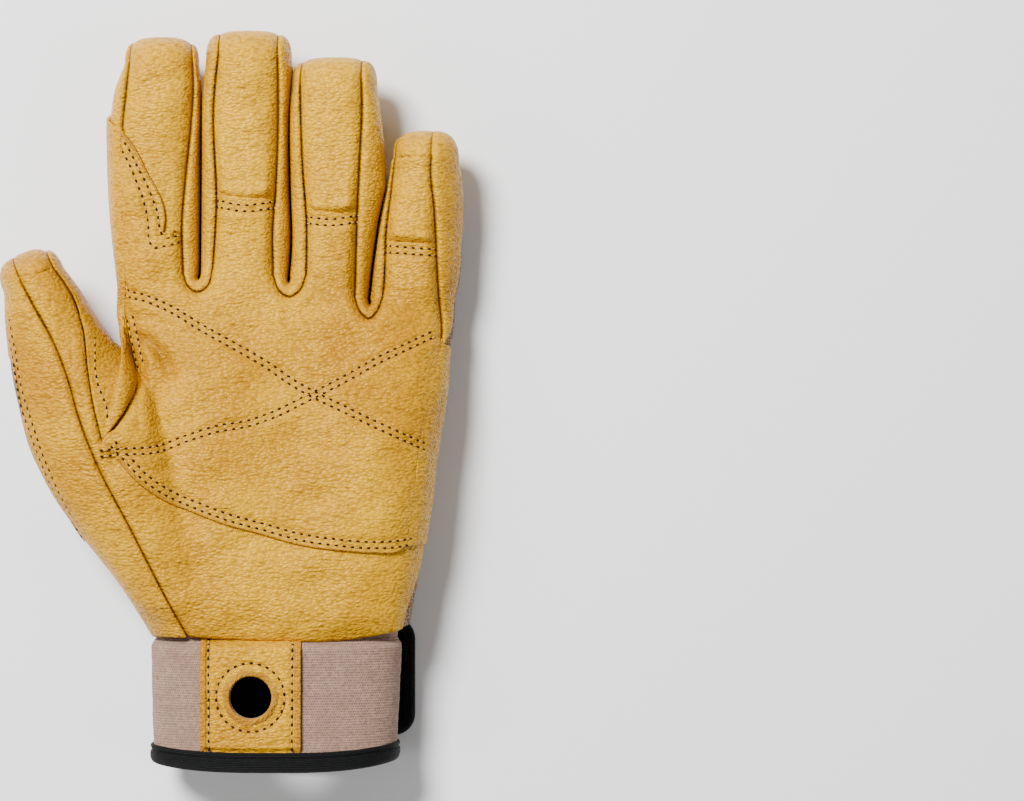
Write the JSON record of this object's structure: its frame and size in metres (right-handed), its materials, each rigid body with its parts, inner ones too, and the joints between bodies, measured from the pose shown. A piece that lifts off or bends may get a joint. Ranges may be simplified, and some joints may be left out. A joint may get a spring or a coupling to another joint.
{
  "type": "climbing glove",
  "caption": "Leather left-hand glove with a knitted back, an overlaid palm, a stretch cuff with a carabiner hole and a hook-and-loop wrist strap, lying palm up.",
  "frame": {"origin": "under the middle of the glove's bounding box, on the surface that it rests on", "axes": "+Z out of the palm, +Y from the cuff to the fingertips, +X from the thumb to the little finger"},
  "size_m": [0.147, 0.2364, 0.0434],
  "materials": {
    "leather": "fine grained, satin",
    "suede": "raw edge, matt",
    "knit": "fine ribbed stretch knit",
    "back_mesh": "two-tone mesh knit",
    "black_binding": "fine ribbed tape",
    "strap_web": "woven hook-and-loop tape"
  },
  "bodies": {
    "root": {"palm_panel": "leather", "palm_overlay": "leather", "thumb_web": "leather", "thumb_outer_panel": "leather", "fourchette_index_middle": "leather", "fourchette_middle_ring": "leather", "fourchette_ring_little": "leather", "little_outer_panel": "leather", "back_panel": "back_mesh", "cuff": "knit", "cuff_tab": "leather", "eyelet_ring": "suede", "hem_binding": "black_binding", "closure_strap": "strap_web", "strap_binding": "black_binding"}
  },
  "joints": []
}
